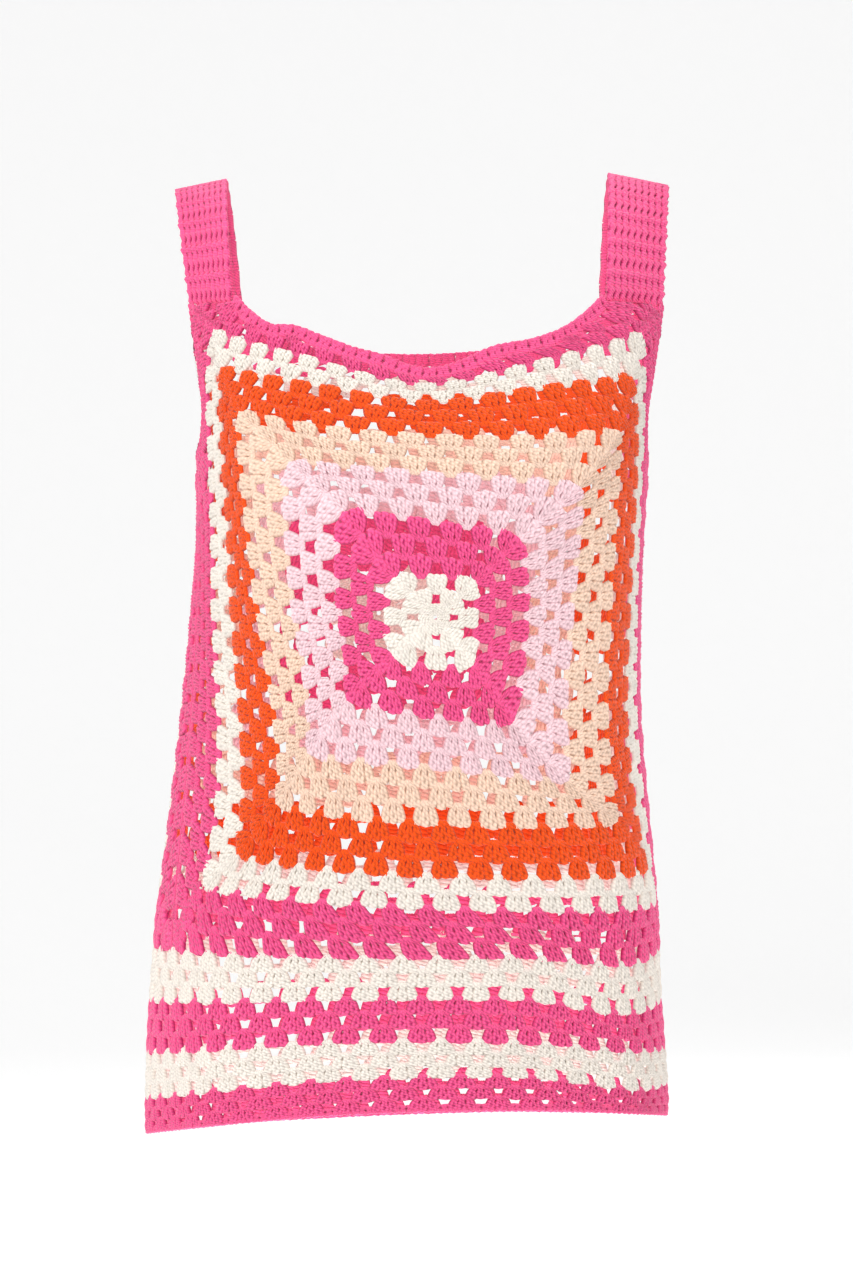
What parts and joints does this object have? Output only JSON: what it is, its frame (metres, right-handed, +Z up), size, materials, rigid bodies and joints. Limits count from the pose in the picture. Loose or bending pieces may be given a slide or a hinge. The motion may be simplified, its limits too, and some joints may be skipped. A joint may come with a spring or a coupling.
{
  "type": "crochet top",
  "caption": "Sleeveless granny-square crochet top with wide straps, hollow and open at neck, armholes and hem, in the shape it has when worn.",
  "frame": {"origin": "midway between the two straps, at the height where they rest on the wearer's shoulders", "axes": "+Z up, -Y towards the front of the top, +X to the right as seen from in front"},
  "size_m": [0.319, 0.2327, 0.5886],
  "materials": {
    "cream": "matte cotton yarn",
    "hot_pink": "matte cotton yarn",
    "pale_pink": "matte cotton yarn",
    "peach": "matte cotton yarn",
    "orange": "matte cotton yarn"
  },
  "bodies": {
    "root": {"front_cream_centre": "cream", "front_pink_inner": "hot_pink", "front_pale_pink": "pale_pink", "front_peach": "peach", "front_orange": "orange", "front_cream_outer": "cream", "front_pink_border": "hot_pink", "back_cream_centre": "cream", "back_pink_inner": "hot_pink", "back_pale_pink": "pale_pink", "back_peach": "peach", "back_orange": "orange", "back_cream_outer": "cream", "back_pink_border": "hot_pink", "hem_cream_upper": "cream", "hem_pink_upper": "hot_pink", "hem_cream_lower": "cream", "hem_pink_lower": "hot_pink", "strap_left": "hot_pink", "strap_right": "hot_pink", "neck_edging_front": "hot_pink", "neck_edging_back": "hot_pink"}
  },
  "joints": []
}
